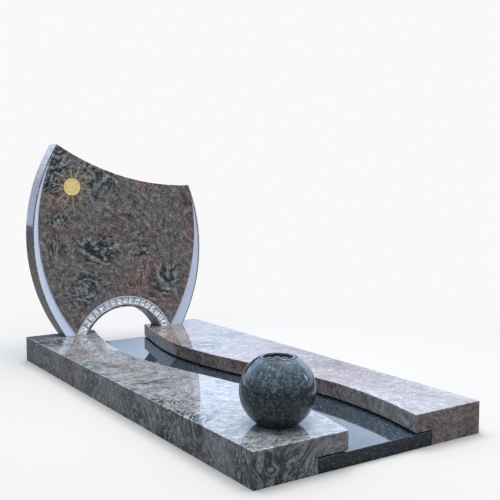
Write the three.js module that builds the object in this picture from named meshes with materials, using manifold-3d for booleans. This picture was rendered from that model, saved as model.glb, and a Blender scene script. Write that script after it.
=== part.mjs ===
// A granite grave cover with an arched headstone and a ball vase. Millimetres, +Z up.
// The origin is on the ground under the middle of the cover. The foot end is at -Y.
// The headstone stands at the +Y end and faces the foot end, and +X is on its viewer's right.
import * as THREE from 'three';
import { mergeVertices } from 'three/addons/utils/BufferGeometryUtils.js';
import Module from 'manifold-3d';

// Driving dimensions of the cover
const COVER_LENGTH = 2000;
const COVER_WIDTH = 950;
const BLOCK_HEIGHT = 115;
const OVERHANG_THICKNESS = 63;
const SLAB_WIDTH = 480;
const SLAB_THICKNESS = 48;
const SLAB_JOINT = 1.5;
const ARRIS = 2.5;

// The sunken path between the two blocks swings like one long wave
const PATH_WIDTH = 286;
const PATH_MIDDLE = -4;
const PATH_SWING = 78;
const PATH_SWING_AT = -605;
const PATH_STEPS = 56;

// Driving dimensions of the headstone. Its points are x and the height above the blocks
const STONE_THICKNESS = 100;
const STONE_SET_IN = 5;
const LEFT_FOOT = [-314, 0];
const LEFT_TOP = [-338, 938];
const RIGHT_TOP = [380, 740];
const RIGHT_FOOT = [338, 0];
const LEFT_SIDE_RADIUS = 860;
const RIGHT_SIDE_RADIUS = 845;
const TOP_RADIUS = 1250;

// The arch under the stone, and the hewn band that follows it
const ARCH_CENTRE = [4, -101];
const ARCH_RADIUS = 222;
const BAND_INNER_RADIUS = 234;
const BAND_OUTER_RADIUS = 281;
const BAND_FILLET = 4;
const BAND_DEPTH = 7;
const HEWN_BLOCKS = 16;
const HEWN_FOOT_LENGTH = 44;
const HEWN_GROOVE = 3.5;
const HEWN_SLOPE = 5;
const HEWN_SINK = 2;
const HEWN_SINK_STEP = 0.25;
const HEWN_RIDGE = 1.5;
const HEWN_ROOT = 1;
const BED_LAP_ANGLE = 0.23;
const FOOT_LAP_ANGLE = 0.12;

// The matt crescents along both sides of the face
const CRESCENT_MARGIN = 6;
const CRESCENT_DEPTH = 4;
const LEFT_CRESCENT = { foot: [-250, 0], topHeight: 925, radius: 841 };
const RIGHT_CRESCENT = { foot: [262, 0], topHeight: 690, radius: 891 };

// The gilded sun, cut shallow into the face
const SUN_CENTRE = [-265, 734];
const SUN_RADIUS = 43;
const SUN_DEPTH = 2;
const RAY_GAP = 5;
const RAY_ROOT_WIDTH = 3.4;
const RAY_TIP_WIDTH = 2;
const RAY_TURN = 16;
const RAY_REACHES = [97, 119, 119, 102, 108, 86, 100, 104, 96, 121, 121, 149, 92, 119];

// The ball vase on the left block
const VASE_PLACE = [-264, -822];
const BALL_RADIUS = 122.5;
const BALL_CENTRE_HEIGHT = 107;
const COLLAR_RADIUS = 57.5;
const COLLAR_TOP = 215.5;
const GROOVE_RADIUS = 61;
const GROOVE_FLOOR = 210;
const MOUTH_RADIUS = 47.5;
const LEDGE_HEIGHT = 202;
const BORE_RADIUS = 43;
const BORE_FLOOR = 62;
const BORE_CORNER = 9;
const GROOVE_CORNER = 1;
const COLLAR_CHAMFER = 1.5;
const MOUTH_CHAMFER = 1;

// The flower holder in the vase's mouth
const HOLDER_RADIUS = 46.8;
const HOLDER_THICKNESS = 4;
const HOLDER_MIDDLE_HOLE = 13;
const HOLDER_HOLE = 8.5;
const HOLDER_HOLE_RING = 28;
const HOLDER_HOLES = 6;

// The gap kept under a piece that rests on another
const REST_GAP = 0.3;

// How far a cutting tool stands clear of the face that it sinks into
const TOOL_CLEAR = 10;

// How finely the curves are drawn
const ARC_SEGMENTS = 16;
const HOLE_SEGMENTS = 10;
const LATHE_STEPS = 56;
const BALL_STEPS = 20;

const wasm = await Module();
wasm.setup();

// A closed geometry as a solid that can be joined and cut
function solidOf(geometry) {
  const bare = geometry.clone();
  bare.deleteAttribute('normal');
  bare.deleteAttribute('uv');
  const merged = mergeVertices(bare, 1e-4);
  const vertProperties = new Float32Array(merged.attributes.position.array);
  const triVerts = new Uint32Array(merged.index.array);
  return new wasm.Manifold(new wasm.Mesh({ numProp: 3, vertProperties, triVerts }));
}

// A solid back as a geometry with flat faces
function geometryOf(solid) {
  const mesh = solid.getMesh();
  const geometry = new THREE.BufferGeometry();
  geometry.setAttribute('position', new THREE.BufferAttribute(mesh.vertProperties, 3));
  geometry.setIndex(new THREE.BufferAttribute(mesh.triVerts, 1));
  const flat = geometry.toNonIndexed();
  flat.computeVertexNormals();
  return flat;
}

// The centre of a circle of this radius through two points, on the left of the way from one to the other
function circleCentre(from, to, radius) {
  const halfX = (to[0] - from[0]) / 2;
  const halfY = (to[1] - from[1]) / 2;
  const half = Math.hypot(halfX, halfY);
  const rise = Math.sqrt(radius * radius - half * half) / half;
  return [from[0] + halfX - halfY * rise, from[1] + halfY + halfX * rise];
}

// Carries an outline on to a point, along an arc that turns left, or right where the radius is negative
function arcTo(shape, from, to, radius) {
  const size = Math.abs(radius);
  const centre = radius > 0 ? circleCentre(from, to, size) : circleCentre(to, from, size);
  const start = Math.atan2(from[1] - centre[1], from[0] - centre[0]);
  const end = Math.atan2(to[1] - centre[1], to[0] - centre[0]);
  shape.absarc(centre[0], centre[1], size, start, end, radius < 0);
}

// A plate in plan, from one height to another, with an arris round its top and bottom edges
function plate(shape, low, high, arris) {
  const geometry = new THREE.ExtrudeGeometry(shape, {
    depth: high - low - 2 * arris,
    steps: 1,
    bevelEnabled: arris > 0,
    bevelThickness: arris,
    bevelSize: arris,
    bevelOffset: -arris,
    bevelSegments: 1,
    curveSegments: ARC_SEGMENTS,
  });
  geometry.translate(0, 0, low + arris);
  return geometry;
}

// A plate that stands upright, drawn as seen from the foot end. It reaches back from its front face
function uprightPlate(shape, frontY, thickness, arris) {
  const geometry = plate(shape, 0, thickness, arris);
  geometry.rotateX(Math.PI / 2);
  geometry.translate(0, frontY + thickness, BLOCK_HEIGHT + REST_GAP);
  return geometry;
}

function namedMesh(name, geometry, colour, roughness, metalness = 0) {
  const material = new THREE.MeshStandardMaterial({ color: colour, roughness, metalness });
  material.name = name;
  const mesh = new THREE.Mesh(geometry, material);
  mesh.name = name;
  return mesh;
}

// The middle line of the path at a distance along the cover
function pathMiddle(y) {
  return PATH_MIDDLE + PATH_SWING * Math.cos(2 * Math.PI * (y - PATH_SWING_AT) / COVER_LENGTH);
}

// One long block. Its side is -1 on the left and 1 on the right
function coverBlock(side) {
  const outer = side * COVER_WIDTH / 2;
  const end = COVER_LENGTH / 2;
  const shape = new THREE.Shape();
  shape.moveTo(outer, -end);
  for (let step = 0; step <= PATH_STEPS; step++) {
    const y = -end + COVER_LENGTH * step / PATH_STEPS;
    shape.lineTo(pathMiddle(y) + side * PATH_WIDTH / 2, y);
  }
  shape.lineTo(outer, end);
  shape.closePath();
  const overhangLow = BLOCK_HEIGHT - OVERHANG_THICKNESS;
  const top = solidOf(plate(shape, overhangLow, BLOCK_HEIGHT, ARRIS));
  const wallInner = side * (SLAB_WIDTH / 2 + SLAB_JOINT);
  const wallTop = overhangLow + OVERHANG_THICKNESS / 2;
  const wall = new THREE.BoxGeometry(Math.abs(outer - wallInner), COVER_LENGTH, wallTop);
  wall.translate((outer + wallInner) / 2, 0, wallTop / 2);
  return geometryOf(top.add(solidOf(wall)));
}

// The dark slab that the path is seen to run on
function centreSlab() {
  const shape = new THREE.Shape();
  shape.moveTo(-SLAB_WIDTH / 2, -COVER_LENGTH / 2);
  shape.lineTo(SLAB_WIDTH / 2, -COVER_LENGTH / 2);
  shape.lineTo(SLAB_WIDTH / 2, COVER_LENGTH / 2);
  shape.lineTo(-SLAB_WIDTH / 2, COVER_LENGTH / 2);
  shape.closePath();
  return plate(shape, 0, SLAB_THICKNESS, ARRIS);
}

const stoneFront = COVER_LENGTH / 2 - STONE_SET_IN - STONE_THICKNESS;

// A point on the arch's rings, at an angle from straight up and clockwise
function archPoint(radius, angle) {
  return [ARCH_CENTRE[0] + radius * Math.sin(angle), ARCH_CENTRE[1] + radius * Math.cos(angle)];
}

// How far from straight up a ring of the arch meets the blocks
function archHalfAngle(radius) {
  return Math.acos(-ARCH_CENTRE[1] / radius);
}

function stoneOutline() {
  const archLeft = archPoint(ARCH_RADIUS, -archHalfAngle(ARCH_RADIUS));
  const archRight = archPoint(ARCH_RADIUS, archHalfAngle(ARCH_RADIUS));
  const shape = new THREE.Shape();
  shape.moveTo(...archRight);
  shape.lineTo(...RIGHT_FOOT);
  arcTo(shape, RIGHT_FOOT, RIGHT_TOP, RIGHT_SIDE_RADIUS);
  arcTo(shape, RIGHT_TOP, LEFT_TOP, -TOP_RADIUS);
  arcTo(shape, LEFT_TOP, LEFT_FOOT, LEFT_SIDE_RADIUS);
  shape.lineTo(...archLeft);
  arcTo(shape, archLeft, archRight, -ARCH_RADIUS);
  return shape;
}

// The cutter for a crescent, between a polished margin along the side and an inner arc
function crescentCutter(side, sideFoot, sideTop, sideRadius, crescent) {
  const centre = side < 0
    ? circleCentre(sideTop, sideFoot, sideRadius)
    : circleCentre(sideFoot, sideTop, sideRadius);
  const marginRadius = sideRadius - CRESCENT_MARGIN;
  const onMargin = (height) => {
    const across = Math.sqrt(marginRadius * marginRadius - (height - centre[1]) ** 2);
    return [centre[0] + side * across, height];
  };
  const below = -CRESCENT_DEPTH;
  const outerFoot = onMargin(below);
  const innerFoot = [crescent.foot[0], below];
  const top = onMargin(crescent.topHeight);
  const shape = new THREE.Shape();
  shape.moveTo(...outerFoot);
  arcTo(shape, outerFoot, top, side * marginRadius);
  arcTo(shape, top, crescent.foot, -side * crescent.radius);
  shape.lineTo(...innerFoot);
  shape.closePath();
  return faceCutter(shape, CRESCENT_DEPTH);
}

// The outline as a tool that sinks to a depth in the front face
function faceCutter(shape, depth) {
  return solidOf(uprightPlate(shape, stoneFront - TOOL_CLEAR, TOOL_CLEAR + depth, 0));
}

// A sector of a ring that follows the arch
function ringSector(innerRadius, outerRadius, startAngle, endAngle) {
  const shape = new THREE.Shape();
  const turn = Math.PI / 2;
  shape.absarc(...ARCH_CENTRE, outerRadius, turn - startAngle, turn - endAngle, true);
  shape.absarc(...ARCH_CENTRE, innerRadius, turn - endAngle, turn - startAngle, false);
  shape.closePath();
  return shape;
}

// One hewn block of the band: a boss with four sloping sides and a blunt ridge
function hewnBlock(startAngle, endAngle, rise, lean) {
  const inner = BAND_INNER_RADIUS;
  const outer = BAND_OUTER_RADIUS - BAND_FILLET;
  const inset = HEWN_SLOPE / ((inner + outer) / 2);
  const floor = stoneFront + BAND_DEPTH + HEWN_ROOT;
  const top = stoneFront + BAND_DEPTH - rise;
  const corner = (radius, angle, y) => {
    const [x, height] = archPoint(radius, angle);
    return [x, y, height + BLOCK_HEIGHT + REST_GAP];
  };
  const ring = (low, high, start, end, y) => [
    corner(low, start, y), corner(high, start, y), corner(high, end, y), corner(low, end, y),
  ];
  const bottomRing = ring(inner - HEWN_ROOT, outer, startAngle, endAngle, floor);
  const topRing = ring(inner + HEWN_SLOPE, outer - HEWN_SLOPE, startAngle + inset, endAngle - inset, top);
  const middle = corner((inner + outer) / 2 + lean, (startAngle + endAngle) / 2, top - HEWN_RIDGE);
  const positions = [...bottomRing, ...topRing, middle].flat();
  const index = [0, 1, 2, 0, 2, 3];
  for (let side = 0; side < 4; side++) {
    const next = (side + 1) % 4;
    index.push(side, 4 + side, next);
    index.push(next, 4 + side, 4 + next);
    index.push(4 + side, 8, 4 + next);
  }
  const geometry = new THREE.BufferGeometry();
  geometry.setAttribute('position', new THREE.Float32BufferAttribute(positions, 3));
  geometry.setIndex(index);
  return solidOf(geometry);
}

// The hewn band: a plain foot block on the left, then bosses all the way to the right foot.
// No two neighbours are alike, because their sink and their lean follow different counts
function hewnBand(stone) {
  const outer = BAND_OUTER_RADIUS - BAND_FILLET;
  const middleRadius = (BAND_INNER_RADIUS + outer) / 2;
  const bedAngle = archHalfAngle(BAND_INNER_RADIUS) + BED_LAP_ANGLE;
  const bed = faceCutter(ringSector(BAND_INNER_RADIUS, outer, -bedAngle, bedAngle), BAND_DEPTH);
  const first = -archHalfAngle(middleRadius);
  const last = -first + FOOT_LAP_ANGLE;
  const footAngle = HEWN_FOOT_LENGTH / middleRadius;
  const pitch = (-first - first - footAngle) / HEWN_BLOCKS;
  const groove = HEWN_GROOVE / middleRadius;
  const footRise = BAND_DEPTH - HEWN_SINK - 2 * HEWN_SINK_STEP;
  const footBlock = hewnBlock(-last, first + footAngle - groove, footRise, 0);
  let carved = stone.subtract(bed).add(footBlock.intersect(stone));
  for (let block = 0; block < HEWN_BLOCKS; block++) {
    const start = first + footAngle + pitch * block;
    const end = block === HEWN_BLOCKS - 1 ? last : start + pitch - groove;
    const rise = BAND_DEPTH - HEWN_SINK - (block * 7 % 5) * HEWN_SINK_STEP;
    const lean = (block * 5 % 7) - 3;
    carved = carved.add(hewnBlock(start, end, rise, lean).intersect(stone));
  }
  return carved;
}

// The sun: a disc with narrow rays that stand off from it by a small gap
function sunCutters() {
  const disc = new THREE.Shape();
  disc.absarc(...SUN_CENTRE, SUN_RADIUS, 0, 2 * Math.PI, false);
  const cutters = [faceCutter(disc, SUN_DEPTH)];
  const root = SUN_RADIUS + RAY_GAP;
  RAY_REACHES.forEach((reach, ray) => {
    const angle = THREE.MathUtils.degToRad(RAY_TURN) + 2 * Math.PI * ray / RAY_REACHES.length;
    const along = [Math.cos(angle), Math.sin(angle)];
    const place = (distance, across) => [
      SUN_CENTRE[0] + along[0] * distance - along[1] * across,
      SUN_CENTRE[1] + along[1] * distance + along[0] * across,
    ];
    const shape = new THREE.Shape();
    shape.moveTo(...place(root, -RAY_ROOT_WIDTH / 2));
    shape.lineTo(...place(reach, -RAY_TIP_WIDTH / 2));
    shape.lineTo(...place(reach, RAY_TIP_WIDTH / 2));
    shape.lineTo(...place(root, RAY_ROOT_WIDTH / 2));
    shape.closePath();
    cutters.push(faceCutter(shape, SUN_DEPTH));
  });
  return cutters;
}

function headstone() {
  let stone = solidOf(uprightPlate(stoneOutline(), stoneFront, STONE_THICKNESS, ARRIS));
  stone = hewnBand(stone);
  stone = stone.subtract(crescentCutter(-1, LEFT_FOOT, LEFT_TOP, LEFT_SIDE_RADIUS, LEFT_CRESCENT));
  stone = stone.subtract(crescentCutter(1, RIGHT_FOOT, RIGHT_TOP, RIGHT_SIDE_RADIUS, RIGHT_CRESCENT));
  for (const cutter of sunCutters()) {
    stone = stone.subtract(cutter);
  }
  return geometryOf(stone);
}

// A turned piece from a profile of radius and height, with its foot on the left block
function turned(profile) {
  const geometry = new THREE.LatheGeometry(profile, LATHE_STEPS);
  geometry.rotateX(Math.PI / 2);
  geometry.translate(...VASE_PLACE, BLOCK_HEIGHT + REST_GAP);
  return geometry;
}

// The vase: a ball with a flat foot, a groove round its collar and a straight bore
function vase() {
  const profile = [new THREE.Vector2(0, 0)];
  const footAngle = Math.acos(BALL_CENTRE_HEIGHT / BALL_RADIUS);
  const shoulderAngle = Math.PI - Math.asin(GROOVE_RADIUS / BALL_RADIUS);
  for (let step = 0; step <= BALL_STEPS; step++) {
    const angle = footAngle + (shoulderAngle - footAngle) * step / BALL_STEPS;
    const height = BALL_CENTRE_HEIGHT - BALL_RADIUS * Math.cos(angle);
    profile.push(new THREE.Vector2(BALL_RADIUS * Math.sin(angle), Math.max(height, 0)));
  }
  const corner = (radius, height) => profile.push(new THREE.Vector2(radius, height));
  corner(COLLAR_RADIUS + GROOVE_CORNER, GROOVE_FLOOR);
  corner(COLLAR_RADIUS, GROOVE_FLOOR);
  corner(COLLAR_RADIUS, COLLAR_TOP - COLLAR_CHAMFER);
  corner(COLLAR_RADIUS - COLLAR_CHAMFER, COLLAR_TOP);
  corner(MOUTH_RADIUS + MOUTH_CHAMFER, COLLAR_TOP);
  corner(MOUTH_RADIUS, COLLAR_TOP - MOUTH_CHAMFER);
  corner(MOUTH_RADIUS, LEDGE_HEIGHT);
  corner(BORE_RADIUS, LEDGE_HEIGHT);
  corner(BORE_RADIUS, BORE_FLOOR + BORE_CORNER);
  corner(BORE_RADIUS - BORE_CORNER, BORE_FLOOR);
  corner(0, BORE_FLOOR);
  return turned(profile);
}

// The holder: a thin disc with a wide hole in the middle and a ring of smaller ones
function flowerHolder() {
  const shape = new THREE.Shape();
  shape.absarc(0, 0, HOLDER_RADIUS, 0, 2 * Math.PI, false);
  const addHole = (x, y, radius) => {
    const hole = new THREE.Path();
    hole.absarc(x, y, radius, 0, 2 * Math.PI, true);
    shape.holes.push(hole);
  };
  addHole(0, 0, HOLDER_MIDDLE_HOLE);
  for (let hole = 0; hole < HOLDER_HOLES; hole++) {
    const angle = 2 * Math.PI * hole / HOLDER_HOLES;
    addHole(HOLDER_HOLE_RING * Math.cos(angle), HOLDER_HOLE_RING * Math.sin(angle), HOLDER_HOLE);
  }
  const low = BLOCK_HEIGHT + REST_GAP + LEDGE_HEIGHT + REST_GAP;
  const geometry = new THREE.ExtrudeGeometry(shape, {
    depth: HOLDER_THICKNESS,
    bevelEnabled: false,
    curveSegments: HOLE_SEGMENTS,
  });
  geometry.translate(...VASE_PLACE, low);
  return geometry;
}

const part = new THREE.Group();
part.name = 'headstone_with_vase';
part.add(namedMesh('left_block', coverBlock(-1), 0x6f6a6c, 0.12));
part.add(namedMesh('right_block', coverBlock(1), 0x6f6a6c, 0.12));
part.add(namedMesh('centre_slab', centreSlab(), 0x232a2c, 0.1));
part.add(namedMesh('headstone', headstone(), 0x5b5350, 0.15));
part.add(namedMesh('ball_vase', vase(), 0x2a3234, 0.1));
part.add(namedMesh('flower_holder', flowerHolder(), 0x2e3133, 0.35, 0.6));

export default part;
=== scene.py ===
# %% [markdown]
# # A granite grave cover with an arched headstone and a ball vase
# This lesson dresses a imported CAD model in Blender. The real object is six pieces of stone and metal:
# two long cover blocks, a dark slab between them, an arched headstone, a ball vase and its flower holder.
# The CAD model says where everything is and how big, so every piece here is drawn from the same sizes.

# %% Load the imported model
import math

import bmesh
import bpy
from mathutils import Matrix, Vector, noise


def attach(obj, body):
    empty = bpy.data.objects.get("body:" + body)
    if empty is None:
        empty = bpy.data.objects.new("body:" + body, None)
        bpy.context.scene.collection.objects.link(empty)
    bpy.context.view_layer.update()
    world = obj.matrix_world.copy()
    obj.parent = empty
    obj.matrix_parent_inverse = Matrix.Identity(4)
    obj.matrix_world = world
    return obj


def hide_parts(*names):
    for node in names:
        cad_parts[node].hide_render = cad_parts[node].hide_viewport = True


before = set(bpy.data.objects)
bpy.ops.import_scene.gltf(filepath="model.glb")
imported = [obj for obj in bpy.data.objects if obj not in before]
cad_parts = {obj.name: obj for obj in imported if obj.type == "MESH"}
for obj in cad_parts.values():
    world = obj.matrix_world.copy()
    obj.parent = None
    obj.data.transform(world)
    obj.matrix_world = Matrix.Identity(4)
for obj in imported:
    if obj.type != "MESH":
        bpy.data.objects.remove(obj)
bpy.context.view_layer.update()
print("CAD nodes:", ", ".join(sorted(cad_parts)))

# %% [markdown]
# ## Sizes
# A mason works from a few named sizes, and so does this file. They are the sizes of the CAD source in
# millimetres. Blender works in metres, so every size is turned to metres when it is used.

# %% Sizes of the cover
MM = 0.001
COVER_LENGTH = 2000 * MM
COVER_WIDTH = 950 * MM
BLOCK_HEIGHT = 115 * MM
OVERHANG_THICKNESS = 63 * MM
SLAB_WIDTH = 480 * MM
SLAB_THICKNESS = 48 * MM
SLAB_JOINT = 1.5 * MM
ARRIS = 2.5 * MM
REST_GAP = 0.3 * MM
BED = BLOCK_HEIGHT + REST_GAP
FOOT_END = -COVER_LENGTH / 2
HEAD_END = COVER_LENGTH / 2

# Two places this close are the same place, and corners closer than the second are merged
NEAR = 0.05 * MM
DOUBLED = 0.02 * MM

# %% [markdown]
# ## Helpers for modelling
# Blender's modelling operators act on whatever is active and selected. These helpers name a new mesh and
# open it in edit mode, settle its place into the mesh, and pull out what is selected.

# %% Open, settle and pull
def deselect():
    """Leaves edit mode and selects nothing."""
    if bpy.context.object and bpy.context.object.mode == "EDIT":
        bpy.ops.object.mode_set(mode="OBJECT")
    bpy.ops.object.select_all(action="DESELECT")


def make_active(piece):
    deselect()
    piece.select_set(True)
    bpy.context.view_layer.objects.active = piece


def open_new(name):
    """Names the primitive that was just added and opens it in edit mode."""
    piece = bpy.context.object
    piece.name = piece.data.name = name
    bpy.ops.object.mode_set(mode="EDIT")
    return piece


def settle():
    """Makes the place, turn and size of the active object a part of its mesh."""
    bpy.ops.object.transform_apply(location=True, rotation=True, scale=True)


def pull(x, y, z):
    """Extrudes what is selected and moves it."""
    bpy.ops.mesh.extrude_region_move(TRANSFORM_OT_translate={"value": (x, y, z)})


# %% [markdown]
# ## Picking parts by a test
# A list of indices would pick the right corners too, but it changes with every step and says nothing.
# A test says what is meant, such as the sharp edges, or the faces on the underside.

# %% Pick and bevel
# An edge is sharp where its two faces turn by more degrees than this
SHARP = 30


def pick(piece, kind, test):
    """Selects only the VERT, EDGE or FACE parts of an open mesh that pass the test."""
    bpy.ops.mesh.select_mode(type=kind)
    bpy.ops.mesh.select_all(action="DESELECT")
    mesh = bmesh.from_edit_mesh(piece.data)
    parts = {"VERT": mesh.verts, "EDGE": mesh.edges, "FACE": mesh.faces}[kind]
    chosen = [part for part in parts if test(part)]
    for part in chosen:
        part.select_set(True)
    mesh.select_flush_mode()
    bmesh.update_edit_mesh(piece.data)
    return len(chosen)


def bevel(piece, test, width, steps, **settings):
    """Bevels the edges of an open mesh that pass the test, and says how many they were."""
    picked = pick(piece, "EDGE", test)
    bpy.ops.mesh.bevel(offset=width, segments=steps, affect="EDGES", **settings)
    return picked


def is_sharp(edge, degrees=SHARP):
    return len(edge.link_faces) == 2 and edge.calc_face_angle() > math.radians(degrees)


def middle(part):
    """The middle of an edge or a face."""
    corners = [corner.co for corner in part.verts]
    return sum(corners, Vector()) / len(corners)


# %% [markdown]
# ## Finishing a mesh
# A spin or an extrusion can leave doubled corners and faces that look inwards, so both are mended before
# anything else is done. Polished stone also needs even normals, or its flat faces would mirror in waves.

# %% Mend, apply, smooth and measure
FLAT_FACE_WEIGHT = 60
SMOOTH_BELOW = 35


def outward():
    """Merges doubled corners and turns every face outwards."""
    bpy.ops.mesh.select_all(action="SELECT")
    bpy.ops.mesh.remove_doubles(threshold=DOUBLED)
    bpy.ops.mesh.normals_make_consistent(inside=False)


def apply(piece, kind, **settings):
    """Adds a modifier and applies it."""
    make_active(piece)
    modifier = piece.modifiers.new("work", kind)
    for setting, value in settings.items():
        setattr(modifier, setting, value)
    bpy.ops.object.modifier_apply(modifier=modifier.name)


def combine(piece, tool, operation, material_mode):
    """Cuts a piece with a tool, or joins the tool to it. The tool itself is thrown away."""
    apply(piece, "BOOLEAN", operation=operation, object=tool, solver="EXACT", material_mode=material_mode)
    bpy.data.objects.remove(tool)


def even_light(piece, degrees=SMOOTH_BELOW):
    """Smooth where the stone is curved, sharp at its edges, and flat where it is flat."""
    make_active(piece)
    bpy.ops.object.shade_smooth_by_angle(angle=math.radians(degrees))
    apply(piece, "WEIGHTED_NORMAL", keep_sharp=True, weight=FLAT_FACE_WEIGHT)


def measure(piece):
    deselect()
    corners = [corner.co for corner in piece.data.vertices]
    size = [max(c[i] for c in corners) - min(c[i] for c in corners) for i in range(3)]
    triangles = sum(len(face.vertices) - 2 for face in piece.data.polygons)
    print(f"{piece.name}: {' x '.join(f'{s / MM:.1f}' for s in size)} mm, {triangles} triangles")


# %% [markdown]
# ## Helpers for materials
# Every finish is made of nodes that read the piece's own coordinates, so the pattern is fixed in the
# stone. Colours are written as the hex values that a paint program shows, and turned to linear light.
# Noise is scaled by how many of its patches fit in a metre, so a patch is given by its real size.

# %% Colours, sizes and nodes
def linear(hex_colour):
    """An sRGB hex colour as linear red, green, blue and alpha."""
    parts = [int(hex_colour[i:i + 2], 16) / 255 for i in (1, 3, 5)]
    return [p / 12.92 if p <= 0.04045 else ((p + 0.055) / 1.055) ** 2.4 for p in parts] + [1.0]


def per_metre(size):
    """The scale of a pattern whose patches have this size."""
    return round(1 / size, 1)


def feed(node, inputs):
    """Fills the inputs of a node with numbers, hex colours, sockets or the first outputs of nodes."""
    for key, value in inputs.items():
        if isinstance(value, bpy.types.Node):
            value = value.outputs[0]
        if isinstance(value, bpy.types.NodeSocket):
            node.id_data.links.new(value, node.inputs[key])
        else:
            node.inputs[key].default_value = linear(value) if isinstance(value, str) else value


def add(tree, kind, inputs, stops=(), **settings):
    """Adds a shader node of a kind, feeds it, and gives it the stops of its colour ramp."""
    made = tree.nodes.new("ShaderNode" + kind)
    for setting, value in settings.items():
        setattr(made, setting, value)
    feed(made, inputs)
    while stops and len(made.color_ramp.elements) < len(stops):
        made.color_ramp.elements.new(1.0)
    for number, (position, colour) in enumerate(stops):
        made.color_ramp.elements[number].position = position
        made.color_ramp.elements[number].color = linear(colour)
    return made


def new_material(name):
    """An empty node material, with its tree and its surface shader."""
    material = bpy.data.materials.new(name)
    material.use_nodes = True
    return material, material.node_tree, material.node_tree.nodes["Principled BSDF"]


# A Mix node keeps its sockets by number: the factor, the two colours, and the mixed colour
MIX, FIRST, SECOND, MIXED = 0, 6, 7, 2

# %% [markdown]
# ## How the rock flowed
# The cover is cut from a migmatite, a gneiss that was half melted and folded while it was hot. A
# photograph could be wrapped round the blocks, but then the pattern would smear on the sides. Here
# noise is bent by noise, as the rock was, so the figure runs through the block like real stone.

# %% Bend the places of the rock
# Each bend has the size of its patches, how far it pushes, and how finely it is broken up
FOLD = (385 * MM, 420 * MM, 1.0)
SWIRL = (111 * MM, 85 * MM, 2.0)
CURL = (29.4 * MM, 16 * MM, 2.0)
SOFT_FOLD = (385 * MM, 200 * MM, 1.0)
SOFT_CURL = (91 * MM, 35 * MM, 2.0)
GRAIN_STRETCH = (1.0, 1.5, 1.5)


def bend(tree, where, by, size, push, detail):
    """Pushes every place a little way, as the hot rock flowed."""
    way = add(tree, "TexNoise", {"Vector": by, "Scale": per_metre(size), "Detail": detail})
    centred = add(tree, "VectorMath", {0: way.outputs["Color"], 1: (0.5, 0.5, 0.5)}, operation="SUBTRACT")
    return add(tree, "VectorMath", {0: centred, 1: (push,) * 3, 2: where}, operation="MULTIPLY_ADD")


def flow(tree, place, turn, shift):
    """The rock folded, swirled and curled, and the gentler lie of its grain."""
    angles = [math.radians(a) for a in turn]
    lie = add(tree, "Mapping", {"Vector": place, "Location": shift, "Rotation": angles})
    folded = bend(tree, lie, lie, *FOLD)
    swirled = bend(tree, folded, folded, *SWIRL)
    curled = bend(tree, swirled, swirled, *CURL)
    eased = bend(tree, bend(tree, lie, lie, *SOFT_FOLD), place, *SOFT_CURL)
    drawn = add(tree, "Mapping", {"Vector": eased, "Scale": GRAIN_STRETCH})
    return folded, swirled, curled, drawn


# %% [markdown]
# ## Where the dark mica lies
# Black-green mica gathers in swirls as wide as a hand. Noise alone would put some anywhere, and a few are
# listed one by one, because this stone is known by them. Each is a soft ball whose edge is torn by noise.

# %% Dark swirls
MICA_PATCH = 294 * MM
TORN = (111 * MM, 110 * MM, 2.0)
FRAYED = (29.4 * MM, 50 * MM, 3.0)
SWIRL_EDGE, SWIRL_CORE = 1.15, 0.55


def dark_mica(tree, place, folded, dark_share, swirls):
    """How dark the rock is with mica, from 0 to 1."""
    patches = add(tree, "TexNoise", {"Vector": folded, "Scale": per_metre(MICA_PATCH), "Detail": 5.0,
                                     "Roughness": 0.6})
    in_dark = add(tree, "MapRange", {"Value": patches, "From Min": 0.60 - 0.1 * dark_share,
                                     "From Max": 0.70 - 0.1 * dark_share})
    ragged = bend(tree, bend(tree, place, place, *TORN), place, *FRAYED) if swirls else place
    for centre, reach, angle, strength in swirls:
        inside = add(tree, "Mapping", {"Vector": ragged, "Location": centre, "Scale": reach,
                                       "Rotation": (0, math.radians(angle), 0)}, vector_type="TEXTURE")
        away = add(tree, "VectorMath", {0: inside}, operation="LENGTH")
        near = add(tree, "MapRange", {"Value": away.outputs["Value"], "From Min": SWIRL_EDGE,
                                      "From Max": SWIRL_CORE, "To Max": strength})
        in_dark = add(tree, "Math", {0: in_dark, 1: near}, operation="MAXIMUM")
    return in_dark


# %% [markdown]
# ## The grain
# The grain is a fine speckle with soft mottles in it, and thin wavy lines where mica was drawn out. The
# lines could be a wave texture, but its waves are too even. A sine of the folded noise follows the folds.

# %% Speckle, mottles and lines
SPECKLE = 5.714 * MM
LINE_PATCH = 200 * MM


def grain_of(tree, place, swirled, drawn, in_dark, mottle, lines, grit, contrast):
    """The grain as one number, about 0.5 on average."""
    speckle = add(tree, "TexNoise", {"Vector": place, "Scale": per_metre(SPECKLE), "Detail": 2.0,
                                     "Roughness": 0.6})
    mottles = add(tree, "TexNoise", {"Vector": drawn, "Scale": per_metre(mottle), "Detail": 7.0,
                                     "Roughness": 0.70})
    fold = add(tree, "TexNoise", {"Vector": swirled, "Scale": per_metre(LINE_PATCH), "Detail": 3.0,
                                  "Roughness": 0.55})
    contour = add(tree, "Math", {0: fold, 1: lines}, operation="MULTIPLY")
    wave = add(tree, "Math", {0: contour}, operation="SINE")
    banding = add(tree, "MapRange", {"Value": in_dark, "To Min": 0.02, "To Max": 0.17})
    banded = add(tree, "Math", {0: wave, 1: banding, 2: mottles}, operation="MULTIPLY_ADD")
    centred = add(tree, "Math", {0: speckle, 1: 0.5}, operation="SUBTRACT")
    gritty = add(tree, "Math", {0: centred, 1: grit, 2: banded}, operation="MULTIPLY_ADD")
    return add(tree, "Math", {0: gritty, 1: contrast, 2: 0.5 - 0.5 * contrast}, operation="MULTIPLY_ADD")


# %% [markdown]
# ## The colours of the rock
# Pink and grey feldspar make the ground, iron has stained parts of it rust red, and mica is nearly black.
# Each of the three is a ramp over the same grain, from its darkest crystals to its palest. Then every
# crystal, about five millimetres wide, gets a brightness of its own, and a few of them are pale.

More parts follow.
